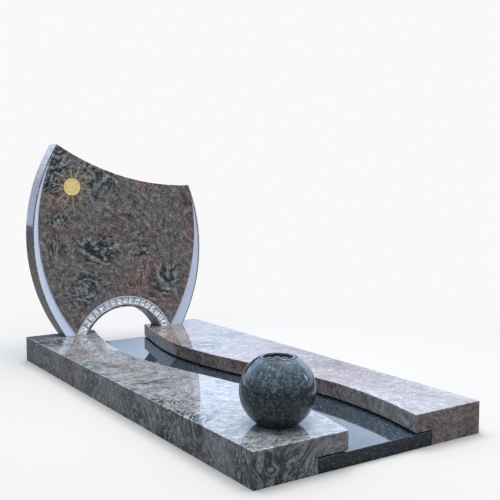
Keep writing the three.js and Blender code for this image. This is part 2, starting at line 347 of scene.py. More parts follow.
# %% Feldspar, rust and mica
GREY_GROUND = ("#202324", "#403e3b", "#55514d", "#68635f", "#8f8987")
BLUE_GROUND = ("#282b2c", "#4a4c4d", "#636463", "#787775", "#969492")
PALE_GROUND = ("#2b2826", "#4a4440", "#625a54", "#787068", "#a1988f")
RUST = ("#242020", "#453935", "#5d4c47", "#71605a", "#948883")
MICA = ("#111516", "#222829", "#3b4140", "#636662", "#8b8c87")
PALE_CRYSTAL = "#a59a94"
GROUND_LEVELS = (0.28, 0.40, 0.50, 0.60, 0.76)
MICA_LEVELS = (0.30, 0.42, 0.52, 0.64, 0.80)
RUST_PATCH = 238 * MM
STRINGER_PATCH = 58.8 * MM
CRYSTAL = 5.263 * MM


def mineral_colours(tree, grain, swirled, curled, in_dark, ground, rust_share):
    """Ground, stained with rust in places, with mica in the dark swirls and in thin stringers."""
    grey = add(tree, "ValToRGB", {"Fac": grain}, stops=list(zip(GROUND_LEVELS, ground)))
    rust = add(tree, "ValToRGB", {"Fac": grain}, stops=list(zip(GROUND_LEVELS, RUST)))
    mica = add(tree, "ValToRGB", {"Fac": grain}, stops=list(zip(MICA_LEVELS, MICA)))
    stain = add(tree, "TexNoise", {"Vector": swirled, "Scale": per_metre(RUST_PATCH), "Detail": 6.0,
                                   "Roughness": 0.6})
    in_rust = add(tree, "MapRange", {"Value": stain, "From Min": 0.55 - 0.1 * rust_share,
                                     "From Max": 0.68 - 0.1 * rust_share})
    stained = add(tree, "Mix", {MIX: in_rust, FIRST: grey, SECOND: rust}, data_type="RGBA")
    stringer = add(tree, "TexNoise", {"Vector": curled, "Scale": per_metre(STRINGER_PATCH), "Detail": 8.0,
                                      "Roughness": 0.74})
    in_stringer = add(tree, "MapRange", {"Value": stringer, "From Min": 0.45, "From Max": 0.38,
                                         "To Max": 0.80})
    micaceous = add(tree, "Math", {0: in_dark, 1: in_stringer}, operation="MAXIMUM")
    return add(tree, "Mix", {MIX: micaceous, FIRST: stained.outputs[MIXED], SECOND: mica},
               data_type="RGBA").outputs[MIXED]


def single_crystals(tree, curled, colour, grit):
    """Gives every crystal its own brightness. Returns the colour and a number for each crystal."""
    crystals = add(tree, "TexVoronoi", {"Vector": curled, "Scale": per_metre(CRYSTAL)})
    crystal = add(tree, "SeparateColor", {"Color": crystals.outputs["Color"]})
    bright = add(tree, "MapRange", {"Value": crystal.outputs["Red"], "To Min": 1 - 0.4 * grit,
                                    "To Max": 1 + 0.4 * grit})
    grained = add(tree, "VectorMath", {0: colour, "Scale": bright}, operation="SCALE")
    fleck = add(tree, "MapRange", {"Value": crystal.outputs["Green"], "From Min": 0.90, "From Max": 0.98,
                                   "To Max": 0.4 * grit})
    flecked = add(tree, "Mix", {MIX: fleck, FIRST: grained, SECOND: PALE_CRYSTAL}, data_type="RGBA")
    return flecked.outputs[MIXED], crystal.outputs["Blue"]


# %% [markdown]
# ## One recipe, three stones
# The three large stones were sawn from different parts of the rock. One recipe makes them all: turn and
# shift choose the part and the lie of its grain, and the shares say how much mica and rust it holds.

# %% The figure of the stone
def rock_figure(tree, turn, shift, swirls=(), ground=GREY_GROUND, mottle=27.8 * MM, lines=66.0,
                grit=0.6, contrast=1.0, dark_share=0.5, rust_share=0.5):
    """The colour of the migmatite, a number for each crystal, and the place it is read at."""
    place = add(tree, "TexCoord", {}).outputs["Object"]
    folded, swirled, curled, drawn = flow(tree, place, turn, shift)
    in_dark = dark_mica(tree, place, folded, dark_share, swirls)
    grain = grain_of(tree, place, swirled, drawn, in_dark, mottle, lines, grit, contrast)
    colour = mineral_colours(tree, grain, swirled, curled, in_dark, ground, rust_share)
    colour, crystal = single_crystals(tree, curled, colour, grit)
    return colour, crystal, place


# %% [markdown]
# ## Three parts of the rock
# The left block is from a bluish part that is rich in mica, the right one from a pale and rusty part, and
# the headstone from between them. Its swirls are set one by one, as are those along the left side.

# %% The parts and their swirls
# Each swirl: its centre, how far it reaches, how it leans in degrees and how dark it is
STONE_SWIRLS = [
    ((-0.35, 0.9, 0.92), (0.060, 0.3, 0.13), 10, 0.95),
    ((-0.12, 0.9, 0.91), (0.120, 0.3, 0.09), 30, 0.85),
    ((-0.37, 0.9, 0.69), (0.070, 0.3, 0.03), 10, 0.80),
    ((-0.34, 0.9, 0.55), (0.055, 0.3, 0.05), 0, 0.55),
    ((-0.14, 0.9, 0.53), (0.130, 0.3, 0.08), 20, 0.95),
    ((0.10, 0.9, 0.60), (0.050, 0.3, 0.03), 40, 0.85),
    ((0.11, 0.9, 0.50), (0.035, 0.3, 0.05), 20, 0.95),
    ((0.24, 0.9, 0.35), (0.090, 0.3, 0.11), 30, 0.90),
    ((-0.21, 0.9, 0.34), (0.110, 0.3, 0.09), -20, 0.80),
]
LEFT_SWIRLS = [
    ((-0.40, -1.0, 0.04), (0.22, 0.12, 0.09), 0, 0.80),
    ((-0.475, -0.62, 0.04), (0.05, 0.13, 0.07), 0, 0.55),
    ((-0.475, -0.20, 0.05), (0.04, 0.15, 0.06), 0, 0.95),
    ((-0.475, 0.20, 0.06), (0.04, 0.12, 0.06), 0, 0.85),
    ((-0.475, 0.72, 0.05), (0.05, 0.15, 0.07), 0, 0.70),
]
LEFT_ROCK = {"turn": (0, 8, 20), "shift": (0.3, 1.7, 0.2), "dark_share": 0.70, "rust_share": 0.2,
             "swirls": LEFT_SWIRLS, "ground": BLUE_GROUND, "mottle": 31.25 * MM, "lines": 120.0,
             "contrast": 0.80}
RIGHT_ROCK = {"turn": (0, -6, 170), "shift": (2.1, 0.4, 0.9), "dark_share": 0.1, "rust_share": 0.85,
              "ground": PALE_GROUND, "mottle": 33.3 * MM, "lines": 110.0, "grit": 0.65,
              "contrast": 0.8}
STONE_ROCK = {"turn": (0, -38, 0), "shift": (4.2, 1.1, 2.3), "dark_share": 0.0, "rust_share": 0.65,
              "swirls": STONE_SWIRLS}

# %% [markdown]
# ## Polished, rubbed and honed
# A mason gives one stone many finishes. Polishing makes it dark and glossy, because light goes in and the
# figure shows. Honing stops earlier and leaves a pale matt bloom. The rubbed arrises are worn pale in
# places, and these pale patches are also a painted highlight, the broken glint along the arris. So wear
# and glint are one bloom that only shows where a noise is high. A mask painted by hand would do too, but
# it would have to be painted again for every change of shape.

# %% The finishes of the granite
GRANITE_IOR = 1.54
# How rough each finish is, and how far single crystals stray from it
POLISHED, RUBBED, HONED, HEWN = 0.07, 0.35, 0.55, 0.75
LEAST_ROUGH, MOST_ROUGH = 0.8, 1.3
BLUISH_BLOOM = "#c6cedb"
# The right crescent's bloom, painted darker as painted shade
SHADED_BLOOM = "#b2bbc9"
WARM_BLOOM = "#c9bfb9"
CHIP_PATCH = 35.7 * MM
FINE_GRIT = 3.333 * MM


def granite(name, rock, bloom=0.0, wear_and_glint=0.0, bloom_colour=BLUISH_BLOOM, roughness=POLISHED,
            relief=0.0, relief_size=FINE_GRIT):
    """A finish of the migmatite. Bloom veils its figure all over; wear, with a painted glint, shows only
    in patches.
    """
    material, tree, surface = new_material(name)
    colour, crystal, place = rock_figure(tree, **rock)
    if bloom:
        veiled = add(tree, "Mix", {MIX: bloom, FIRST: colour, SECOND: bloom_colour}, data_type="RGBA")
        colour = veiled.outputs[MIXED]
    # Pale patches on the arris: real wear, and a painted highlight of the broken glint along it
    if wear_and_glint:
        chips = add(tree, "TexNoise", {"Vector": place, "Scale": per_metre(CHIP_PATCH), "Detail": 6.0,
                                       "Roughness": 0.7})
        worn = add(tree, "MapRange", {"Value": chips, "From Min": 0.50, "From Max": 0.60, "To Max": wear_and_glint})
        pale = add(tree, "Mix", {MIX: worn, FIRST: colour, SECOND: bloom_colour}, data_type="RGBA")
        colour = pale.outputs[MIXED]
    polish = add(tree, "MapRange", {"Value": crystal, "To Min": LEAST_ROUGH * roughness,
                                    "To Max": MOST_ROUGH * roughness})
    feed(surface, {"Base Color": colour, "IOR": GRANITE_IOR, "Roughness": polish})
    if relief:
        grit = add(tree, "TexNoise", {"Vector": place, "Scale": per_metre(relief_size), "Detail": 4.0})
        bump = add(tree, "Bump", {"Height": grit, "Distance": relief, "Strength": 1.0})
        feed(surface, {"Normal": bump})
    return material


# %% [markdown]
# ## The finishes of the three stones
# Both blocks and the headstone need a polished and a rubbed finish of their own part of the rock, and only
# the headstone's crescents are honed. The right crescent lies in more shade, so its bloom is painted
# darker, as painted shade.

# %% Make the finishes
RUBBED_BLOCK = {"wear_and_glint": 0.25, "bloom_colour": WARM_BLOOM, "roughness": RUBBED}
HONED_FACE = {"bloom": 0.86, "roughness": HONED, "relief": 0.1 * MM}

polished_left = granite("polished migmatite, left block", LEFT_ROCK)
polished_right = granite("polished migmatite, right block", RIGHT_ROCK)
polished_stone = granite("polished migmatite, headstone", STONE_ROCK)
rubbed_left = granite("rubbed migmatite arris, left block", LEFT_ROCK, **RUBBED_BLOCK)
rubbed_right = granite("rubbed migmatite arris, right block", RIGHT_ROCK, **RUBBED_BLOCK)
rubbed_stone = granite("rubbed migmatite arris, headstone", STONE_ROCK, wear_and_glint=0.3, roughness=RUBBED)
honed_left = granite("honed migmatite, left crescent", STONE_ROCK, **HONED_FACE)
honed_right = granite("honed migmatite, right crescent", STONE_ROCK, bloom_colour=SHADED_BLOOM,
                      **HONED_FACE)
print(f"{len(bpy.data.materials)} materials so far")

# %% [markdown]
# ## The dark granite
# The slab and the vase are a polished black-green granite. Its ground is nearly black, and pale green,
# blue-grey and brown feldspar crystals a few millimetres long lie in it and catch the light. A noise
# alone would give clouds without edges, so the crystals are Voronoi cells, made ragged by a noise.

# %% Dark granite
DARK_GRANITE_IOR = 1.56
SLAB_CRYSTAL, VASE_CRYSTAL = 3.6 * MM, 5.5 * MM
CLOUD_PATCH = 16.67 * MM
CRYSTAL_TINTS = [(0.0, "#2f4942"), (0.3, "#475f57"), (0.55, "#576874"), (0.75, "#544d42"),
                 (0.93, "#4c6065"), (1.0, "#98a29b")]
DARK_GROUND = [(0.35, "#0c1216"), (0.55, "#161e23"), (0.72, "#2c383f")]


def dark_granite(name, crystal_size, shift, fleck_share):
    """Near-black polished granite with pale crystals of a real size, in metres."""
    material, tree, surface = new_material(name)
    place = add(tree, "TexCoord", {}).outputs["Object"]
    lie = add(tree, "Mapping", {"Vector": place, "Location": shift})
    push = add(tree, "TexNoise", {"Vector": lie, "Scale": 0.35 / crystal_size, "Detail": 3.0})
    ragged = add(tree, "VectorMath", {0: push.outputs["Color"], 1: (crystal_size,) * 3, 2: lie},
                 operation="MULTIPLY_ADD")
    crystals = add(tree, "TexVoronoi", {"Vector": ragged, "Scale": 0.8 / crystal_size})
    parts = add(tree, "SeparateColor", {"Color": crystals.outputs["Color"]})
    tint = add(tree, "ValToRGB", {"Fac": parts.outputs["Green"]}, stops=CRYSTAL_TINTS)
    pale = add(tree, "MapRange", {"Value": parts.outputs["Red"], "From Min": 1 - fleck_share,
                                  "From Max": 1.0, "To Max": 0.56})
    cloud = add(tree, "TexNoise", {"Vector": lie, "Scale": per_metre(CLOUD_PATCH), "Detail": 6.0,
                                   "Roughness": 0.7})
    ground = add(tree, "ValToRGB", {"Fac": cloud}, stops=DARK_GROUND)
    flecked = add(tree, "Mix", {MIX: pale, FIRST: ground, SECOND: tint}, data_type="RGBA")
    polish = add(tree, "MapRange", {"Value": parts.outputs["Blue"], "To Min": 0.045, "To Max": 0.065})
    feed(surface, {"Base Color": flecked.outputs[MIXED], "IOR": DARK_GRANITE_IOR, "Roughness": polish})
    return material


slab_granite = dark_granite("polished black-green granite, slab", SLAB_CRYSTAL, (0.3, 0.2, 0.1), 0.20)
vase_granite = dark_granite("polished black-green granite, vase", VASE_CRYSTAL, (2.6, 0.2, 1.4), 0.50)
print(f"crystals of {SLAB_CRYSTAL / MM:.1f} mm in the slab, {VASE_CRYSTAL / MM:.1f} mm in the vase")

# %% [markdown]
# ## Gold leaf
# The sun is cut shallow into the polished face, sized, and laid with gold leaf. The leaf stays a little
# uneven and matt, so it is only partly metallic, and one noise gives it both its tone and its creases.
# Real creases are too fine to show, so they are drawn as coarse as they need to be.

# %% Gold leaf
LEAF_TONES = [(0.3, "#d3b669"), (0.5, "#e6cd87"), (0.7, "#f0dea3")]
LEAF_WRINKLE = 6.667 * MM
LEAF_CREASE = 0.3 * MM

gold_leaf, tree, surface = new_material("gold leaf on stone")
place = add(tree, "TexCoord", {}).outputs["Object"]
wrinkle = add(tree, "TexNoise", {"Vector": place, "Scale": per_metre(LEAF_WRINKLE), "Detail": 5.0})
leaf = add(tree, "ValToRGB", {"Fac": wrinkle}, stops=LEAF_TONES)
crease = add(tree, "Bump", {"Height": wrinkle, "Distance": LEAF_CREASE, "Strength": 0.6})
feed(surface, {"Base Color": leaf, "Metallic": 0.55, "Roughness": 0.5, "Normal": crease})
print(f"leaf creased every {LEAF_WRINKLE / MM:.1f} mm")

# %% [markdown]
# ## Steel
# The holder is a pressed disc of stainless steel. Its flat face is painted near black, a painted shade
# inside the vase's mouth, and the rims of its holes are painted bright, a painted glint. Both are the same
# metal, so one recipe takes the two tones. The tarnish is drawn coarser than the real one, because that is
# too fine to show.

# %% Steel
TARNISH_PATCH = 4.167 * MM


def steel(name, dark, bright, roughness):
    """Stainless steel, tarnished in small patches."""
    material, tree, surface = new_material(name)
    place = add(tree, "TexCoord", {}).outputs["Object"]
    tarnish = add(tree, "TexNoise", {"Vector": place, "Scale": per_metre(TARNISH_PATCH), "Detail": 5.0})
    metal = add(tree, "ValToRGB", {"Fac": tarnish}, stops=[(0.35, dark), (0.7, bright)])
    worn = add(tree, "MapRange", {"Value": tarnish, "To Min": roughness, "To Max": 2 * roughness})
    feed(surface, {"Base Color": metal, "Metallic": 1.0, "Roughness": worn})
    return material


# Near black: painted shade inside the vase's mouth
holder_steel_painted_shade = steel("stainless steel, painted dark as shade", "#0e0f0e", "#2c2e2a", 0.25)
# Bright: a painted glint on the rims of the holes
rim_steel_painted_glint = steel("stainless steel, painted glint at the rims", "#a9aca2", "#e6e8dc", 0.12)
print(f"{holder_steel_painted_shade.name}; {rim_steel_painted_glint.name}")

# %% [markdown]
# ## The winding edge
# The inner edges of the two blocks leave a path of even width that winds from the foot to the head. Both
# follow one cosine wave, so a small function gives the edge at any distance along the cover.

# %% The wave of the path
PATH_WIDTH = 286 * MM
PATH_MIDDLE = -4 * MM
PATH_SWING = 78 * MM
PATH_SWING_AT = -605 * MM
PATH_STEPS = 112
WALL_INNER = SLAB_WIDTH / 2 + SLAB_JOINT
LEFT, RIGHT = -1, 1


def path_edge(side, y):
    """Where the block's inner edge is, across the cover, at a distance along it."""
    swing = PATH_SWING * math.cos(2 * math.pi * (y - PATH_SWING_AT) / COVER_LENGTH)
    return PATH_MIDDLE + swing + side * PATH_WIDTH / 2


print(f"path from {path_edge(LEFT, FOOT_END) / MM:.0f} to {path_edge(RIGHT, FOOT_END) / MM:.0f} mm")

# %% [markdown]
# ## The two cover blocks
# Each block is a thick plate on a wall along its outer side, and the plate's inner part hangs over the
# dark slab. It could be drawn as a curve and filled, but a grid gives every stretch of the wave its own
# pair of corners, and those are simply slid into place. Then the grid is pulled down to the plate's
# thickness, and its outer strip further down to the ground.

# %% Lay out the grid and pull it down
UNDERCUT_ROUND = 6 * MM
UNDERCUT_STEPS = 5
ARRIS_STEPS = 3
ARRIS_SHARP = 40
PLATE_UNDERSIDE = BLOCK_HEIGHT - OVERHANG_THICKNESS


def block_shape(name, side):
    """A block with sharp edges, left open for editing."""
    inner_line = -side * COVER_LENGTH / 2
    deselect()
    bpy.ops.mesh.primitive_grid_add(x_subdivisions=2, y_subdivisions=PATH_STEPS, size=COVER_LENGTH,
                                    location=(0, 0, BLOCK_HEIGHT))
    settle()
    piece = open_new(name)
    for old, new in ((-inner_line, side * COVER_WIDTH / 2), (0, side * WALL_INNER)):
        pick(piece, "VERT", lambda v: abs(v.co.x - old) < NEAR)
        bpy.ops.transform.translate(value=(new - old, 0, 0))
    for step in range(PATH_STEPS + 1):
        y = FOOT_END + COVER_LENGTH * step / PATH_STEPS
        pick(piece, "VERT", lambda v: abs(v.co.x - inner_line) < NEAR and abs(v.co.y - y) < NEAR)
        bpy.ops.transform.translate(value=(path_edge(side, y) - inner_line, 0, 0))
    bpy.ops.mesh.select_all(action="SELECT")
    pull(0, 0, -OVERHANG_THICKNESS)
    outward()
    pick(piece, "FACE",
         lambda f: abs(middle(f).z - PLATE_UNDERSIDE) < NEAR and side * middle(f).x > WALL_INNER)
    pull(0, 0, -PLATE_UNDERSIDE)
    outward()
    return piece


# %% [markdown]
# ## Rounded and rubbed edges
# A saw leaves sharp edges, and a mason takes them off. Under the overhang the edge is well rounded, and
# every other edge gets a narrow arris, except the inside corner where plate and wall meet.

# %% Take off the edges
def under_the_overhang(edge, side):
    at = middle(edge)
    return (is_sharp(edge) and abs(at.z - PLATE_UNDERSIDE) < NEAR and side * at.x < WALL_INNER - NEAR
            and abs(abs(at.y) - HEAD_END) > NEAR)


def wants_arris(edge, side):
    at = middle(edge)
    inside_corner = (side * at.x < WALL_INNER + NEAR and at.z < PLATE_UNDERSIDE + NEAR
                     and side * at.x > WALL_INNER - NEAR)
    return is_sharp(edge, ARRIS_SHARP) and at.z > NEAR and not inside_corner


def cover_block(name, side, polished, rubbed):
    piece = block_shape(name, side)
    piece.data.materials.append(polished)
    piece.data.materials.append(rubbed)
    undercut = bevel(piece, lambda e: under_the_overhang(e, side), UNDERCUT_ROUND, UNDERCUT_STEPS)
    arrises = bevel(piece, lambda e: wants_arris(e, side), ARRIS, ARRIS_STEPS, material=1)
    outward()
    print(f"{name}: {undercut} edges rounded under the overhang, {arrises} arris edges")
    even_light(piece)
    measure(piece)
    return piece


left_block = cover_block("left_cover_block", LEFT, polished_left, rubbed_left)
right_block = cover_block("right_cover_block", RIGHT, polished_right, rubbed_right)

# %% [markdown]
# ## The dark slab
# A sawn slab lies between the walls of the blocks and shows as the bottom of the path and as a dark
# edge at the foot end. It is a block with rubbed arrises, so a cube is shaped to size and bevelled.

# %% Shape the slab
deselect()
bpy.ops.mesh.primitive_cube_add(size=1, location=(0, 0, SLAB_THICKNESS / 2),
                                scale=(SLAB_WIDTH, COVER_LENGTH, SLAB_THICKNESS))
settle()
centre_slab = open_new("dark_centre_slab")
centre_slab.data.materials.append(slab_granite)
bevel(centre_slab, lambda e: middle(e).z > NEAR, ARRIS, ARRIS_STEPS)
outward()
even_light(centre_slab)
measure(centre_slab)

# %% [markdown]
# ## The headstone's outline
# The stone is a thick slab with a high left corner, bowed sides, a hollow top and two feet. A mason draws
# such a stone with a trammel, a beam compass, arc by arc, so its sizes are corners and radii.

# %% Sizes of the headstone
STONE_THICKNESS = 100 * MM
STONE_SET_IN = 5 * MM
STONE_FRONT = HEAD_END - STONE_SET_IN - STONE_THICKNESS
LEFT_FOOT = Vector((-314, 0)) * MM
LEFT_TOP = Vector((-338, 938)) * MM
RIGHT_TOP = Vector((380, 740)) * MM
RIGHT_FOOT = Vector((338, 0)) * MM
LEFT_SIDE_RADIUS = 860 * MM
RIGHT_SIDE_RADIUS = 845 * MM
TOP_RADIUS = 1250 * MM
ARCH_CENTRE = Vector((4, -101)) * MM
ARCH_RADIUS = 222 * MM
print(f"the stone's face stands {STONE_FRONT / MM:.0f} mm from the middle of the cover")

# %% [markdown]
# ## The trammel
# The spin operator works as the trammel does: it swings the last point about a centre and leaves a chain
# of points behind. So an outline starts as one point and is walked once round, arc by arc and step by
# step, and then it is filled and pulled back to a solid.

# %% Draw with the trammel
def on_face(point, y):
    """A drawn point, across and up from the blocks, as a place in the room."""
    return Vector((point[0], y, point[1] + BED))


def circle_centre(start, end, radius):
    """The centre of a circle through two points, on the left of the way from one to the other."""
    half = (end - start) / 2
    rise = math.sqrt(radius ** 2 - half.length ** 2) / half.length
    return start + half + Vector((-half.y, half.x)) * rise


def start_outline(name, point, y):
    """A new mesh of one point, open and selected."""
    deselect()
    bpy.ops.mesh.primitive_plane_add(size=MM)
    piece = open_new(name)
    bpy.ops.mesh.merge(type="CENTER")
    bpy.ops.mesh.select_mode(type="VERT")
    bpy.ops.mesh.select_all(action="SELECT")
    bpy.ops.transform.translate(value=on_face(point, y))
    return piece


def line_to(start, end):
    step = end - start
    pull(step[0], 0, step[1])


def swing_to(start, end, centre, y, steps, clockwise=False):
    """Swings the selected point about a centre, as far as the end point."""
    turn = math.atan2(*(end - centre).yx) - math.atan2(*(start - centre).yx)
    turn = -(-turn % (2 * math.pi)) if clockwise else turn % (2 * math.pi)
    bpy.ops.mesh.spin(steps=steps, angle=turn, center=on_face(centre, y), axis=(0, 1, 0))


def arc_to(start, end, radius, y, steps):
    """An arc that turns left on its way to the end point, or right where the radius is negative."""
    if radius > 0:
        swing_to(start, end, circle_centre(start, end, radius), y, steps)
    else:
        swing_to(start, end, circle_centre(end, start, -radius), y, steps, clockwise=True)


def close_and_thicken(depth):
    """Fills the open outline and pulls it back to a solid."""
    bpy.ops.mesh.select_all(action="SELECT")
    bpy.ops.mesh.remove_doubles(threshold=NEAR)
    bpy.ops.mesh.edge_face_add()
    pull(0, depth, 0)
    outward()


# %% [markdown]
# ## The stone
# The outline starts where the arch meets the right block, runs up the right side, along the top, down the
# left side and back over the arch. The edges are rubbed less than those of the blocks.

# %% Draw and thicken the stone
SIDE_STEPS, TOP_STEPS, LEFT_SIDE_STEPS, ARCH_STEPS = 60, 60, 72, 48
STONE_ARRIS = 0.6 * ARRIS


def arch_point(radius, angle):
    """A point on a ring of the arch, at an angle from straight up and clockwise."""
    return ARCH_CENTRE + radius * Vector((math.sin(angle), math.cos(angle)))


def arch_half_angle(radius):
    """How far from straight up a ring of the arch meets the blocks."""
    return math.acos(-ARCH_CENTRE.y / radius)


arch_left = arch_point(ARCH_RADIUS, -arch_half_angle(ARCH_RADIUS))
arch_right = arch_point(ARCH_RADIUS, arch_half_angle(ARCH_RADIUS))
headstone = start_outline("arched_headstone", arch_right, STONE_FRONT)
line_to(arch_right, RIGHT_FOOT)
arc_to(RIGHT_FOOT, RIGHT_TOP, RIGHT_SIDE_RADIUS, STONE_FRONT, SIDE_STEPS)
arc_to(RIGHT_TOP, LEFT_TOP, -TOP_RADIUS, STONE_FRONT, TOP_STEPS)
arc_to(LEFT_TOP, LEFT_FOOT, LEFT_SIDE_RADIUS, STONE_FRONT, LEFT_SIDE_STEPS)
line_to(LEFT_FOOT, arch_left)
arc_to(arch_left, arch_right, -ARCH_RADIUS, STONE_FRONT, ARCH_STEPS)
close_and_thicken(STONE_THICKNESS)
headstone.data.materials.append(polished_stone)
headstone.data.materials.append(rubbed_stone)
bevel(headstone, is_sharp, STONE_ARRIS, ARRIS_STEPS, material=1)
outward()
measure(headstone)

# %% [markdown]
# ## The crescents
# Three things are sunk in the polished face: a matt crescent along each side, the bed of the hewn band
# that follows the arch, and the sun. Each is drawn as an outline and thickened to a cutter, and every
# cutter brings the finish of the ground that it leaves. A crescent keeps a polished margin along the side.

# %% Crescents
CRESCENT_MARGIN = 6 * MM
CRESCENT_DEPTH = 4 * MM
CRESCENT_STEPS = 56
LEFT_CRESCENT = {"foot": Vector((-250, 0)) * MM, "top": 925 * MM, "radius": 841 * MM}
RIGHT_CRESCENT = {"foot": Vector((262, 0)) * MM, "top": 690 * MM, "radius": 891 * MM}
CLEAR = 10 * MM
CUTTER_FRONT = STONE_FRONT - CLEAR


def finish_cutter(cutter, depth, material):
    close_and_thicken(CLEAR + depth)
    cutter.data.materials.append(material)
    return cutter


def crescent(side, foot, top, side_radius, sizes, finish):
    """The cutter for a crescent, between a polished margin along the side and an inner arc."""
    centre = circle_centre(*((top, foot) if side == LEFT else (foot, top)), side_radius)
    margin_radius = side_radius - CRESCENT_MARGIN

    def on_margin(height):
        across = math.sqrt(margin_radius ** 2 - (height - centre.y) ** 2)
        return Vector((centre.x + side * across, height))

    outer_foot, tip = on_margin(-CRESCENT_DEPTH), on_margin(sizes["top"])
    inner_foot = Vector((sizes["foot"].x, -CRESCENT_DEPTH))
    cutter = start_outline("crescent cutter", outer_foot, CUTTER_FRONT)
    arc_to(outer_foot, tip, side * margin_radius, CUTTER_FRONT, CRESCENT_STEPS)
    arc_to(tip, sizes["foot"], -side * sizes["radius"], CUTTER_FRONT, CRESCENT_STEPS)
    line_to(sizes["foot"], inner_foot)
    return finish_cutter(cutter, CRESCENT_DEPTH, finish)


cutters = [
    crescent(LEFT, LEFT_FOOT, LEFT_TOP, LEFT_SIDE_RADIUS, LEFT_CRESCENT, honed_left),
    crescent(RIGHT, RIGHT_FOOT, RIGHT_TOP, RIGHT_SIDE_RADIUS, RIGHT_CRESCENT, honed_right),
]
print(f"{len(cutters)} crescents, {CRESCENT_DEPTH / MM:.0f} mm deep")

# %% [markdown]
# ## The hewn finish
# The chisel leaves the stone nearly white where it stands up, and dust and damp darken the grooves. So the
# hewn finish is a strong bloom, and it is mixed with a dark colour by how deep the place lies behind the
# face. That darkening is partly dust and partly painted shade in the hollows.

# %% Hewn stone
HEWN_BLOOM = "#e6eaee"
# The colour of dust in the grooves and of painted shade in the hollows
SHADE_AND_DUST = "#55585a"
CHISEL_GRIT, CHISEL_TOOTH = 6.667 * MM, 0.9 * MM
CHIP_GRIT, CHIP_BLUR = 7.692 * MM, 5 * MM
SHADE_AND_DUST_FROM, SHADE_AND_DUST_TO = STONE_FRONT + 4 * MM, STONE_FRONT + 9 * MM

hewn_stone = granite("hewn migmatite", STONE_ROCK, bloom=0.76, bloom_colour=HEWN_BLOOM, roughness=HEWN,
                     relief=CHISEL_TOOTH, relief_size=CHISEL_GRIT)
tree = hewn_stone.node_tree
surface = tree.nodes["Principled BSDF"]
bloomed = surface.inputs["Base Color"].links[0].from_socket
place = add(tree, "TexCoord", {}).outputs["Object"]
axes = add(tree, "SeparateXYZ", {0: place})
chipped = add(tree, "TexNoise", {"Vector": place, "Scale": per_metre(CHIP_GRIT), "Detail": 4.0,
                                 "Roughness": 0.7})
depth = add(tree, "Math", {0: chipped, 1: CHIP_BLUR, 2: axes.outputs["Y"]}, operation="MULTIPLY_ADD")
# The deeper the place, the darker it is painted: dust, and painted shade
sunk = add(tree, "MapRange", {"Value": depth, "From Min": SHADE_AND_DUST_FROM, "From Max": SHADE_AND_DUST_TO,
                              "To Max": 0.75})
shaded_and_dusty = add(tree, "Mix", {MIX: sunk, FIRST: bloomed, SECOND: SHADE_AND_DUST}, data_type="RGBA")
feed(surface, {"Base Color": shaded_and_dusty.outputs[MIXED]})
print(f"{hewn_stone.name}: {len(tree.nodes)} nodes")

# %% [markdown]
# ## The bed of the band
# The band follows the arch between two rings. Its bed is a sector of a ring that runs on past the blocks,
# so that nothing is left standing at the feet. A narrow line, barely sunk, frames it on the outside, and
# its pale hewn finish is a painted highlight along that edge.

# %% Two ring cutters
BAND_INNER_RADIUS = 234 * MM
BAND_OUTER_RADIUS = 277 * MM
BAND_FILLET = 4.5 * MM
FILLET_DEPTH = 0.8 * MM
BAND_DEPTH = 7 * MM
# How far past the blocks the bed runs on, in radians
BED_LAP = 0.23
BAND_REACH = arch_half_angle(BAND_INNER_RADIUS) + BED_LAP
RING_STEPS = 72
BED_OUTER_RADIUS = BAND_OUTER_RADIUS - BAND_FILLET


def ring_outline(name, inner, outer):
    """Draws a sector of a ring about the arch's centre."""
    turns = ((outer, -BAND_REACH), (outer, BAND_REACH), (inner, BAND_REACH), (inner, -BAND_REACH))
    corners = [arch_point(radius, angle) for radius, angle in turns]
    piece = start_outline(name, corners[0], CUTTER_FRONT)
    swing_to(corners[0], corners[1], ARCH_CENTRE, CUTTER_FRONT, RING_STEPS, clockwise=True)
    line_to(corners[1], corners[2])
    swing_to(corners[2], corners[3], ARCH_CENTRE, CUTTER_FRONT, RING_STEPS)
    return piece


bed = ring_outline("band bed cutter", BAND_INNER_RADIUS, BED_OUTER_RADIUS)
cutters.append(finish_cutter(bed, BAND_DEPTH, hewn_stone))
# The line's pale hewn finish is a painted highlight on the band's outer edge
fillet = ring_outline("fillet cutter", BED_OUTER_RADIUS - FILLET_DEPTH, BAND_OUTER_RADIUS)
cutters.append(finish_cutter(fillet, FILLET_DEPTH, hewn_stone))
print(f"band of {(BED_OUTER_RADIUS - BAND_INNER_RADIUS) / MM:.1f} mm, line of {BAND_FILLET / MM:.1f} mm")

# %% [markdown]
# ## The sun
# A disc and fourteen tapered rays of different lengths make a simple sun. The disc's cutter is a
# cylinder. A ray's cutter is a long box whose far end is drawn in, and which is then turned about the
# sun's centre.

# %% The sun
SUN_CENTRE = Vector((-265, 734)) * MM
SUN_RADIUS = 43 * MM
SUN_DEPTH = 2 * MM
SUN_SIDES = 64
RAY_GAP = 5 * MM
RAY_ROOT_WIDTH = 3.4 * MM
RAY_TIP_WIDTH = 2.0 * MM
RAY_TURN = math.radians(16)
RAY_REACHES = [97, 119, 119, 102, 108, 86, 100, 104, 96, 121, 121, 149, 92, 119]
ray_root = SUN_RADIUS + RAY_GAP
sun_cut = CLEAR + SUN_DEPTH
sun_middle = on_face(SUN_CENTRE, STONE_FRONT + (SUN_DEPTH - CLEAR) / 2)


